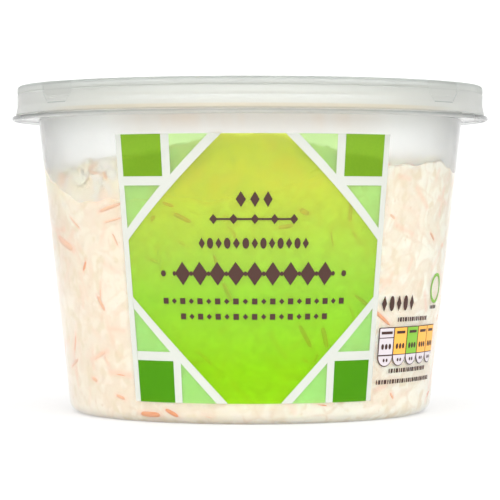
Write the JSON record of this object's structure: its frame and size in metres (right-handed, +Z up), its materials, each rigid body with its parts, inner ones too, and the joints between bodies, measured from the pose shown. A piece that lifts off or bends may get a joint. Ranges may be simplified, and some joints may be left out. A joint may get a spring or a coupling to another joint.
{
  "type": "tub of coleslaw",
  "caption": "Round tapered translucent plastic tub of creamy coleslaw, shut by a clear press-on lid with a sunk middle, with a green geometric print on its front",
  "frame": {"origin": "centre of the base, on the surface the tub stands on", "axes": "+Z up, the printed front faces -Y, +X to the right of someone looking at the front"},
  "size_m": [0.1292, 0.1292, 0.088],
  "materials": {
    "tub_plastic": "frosted translucent polypropylene, faintly milky",
    "lid_plastic": "clear glossy polypropylene, cool grey at its edges",
    "label_print": "semi-gloss ink in lime, mid green, pale green, white and brown, partly see-through",
    "dressed_shreds": "moist creamy dressing over cabbage, carrot and onion shreds"
  },
  "bodies": {
    "root": {"tub": "tub_plastic", "lid": "lid_plastic", "label": "label_print", "coleslaw": "dressed_shreds"}
  },
  "joints": []
}
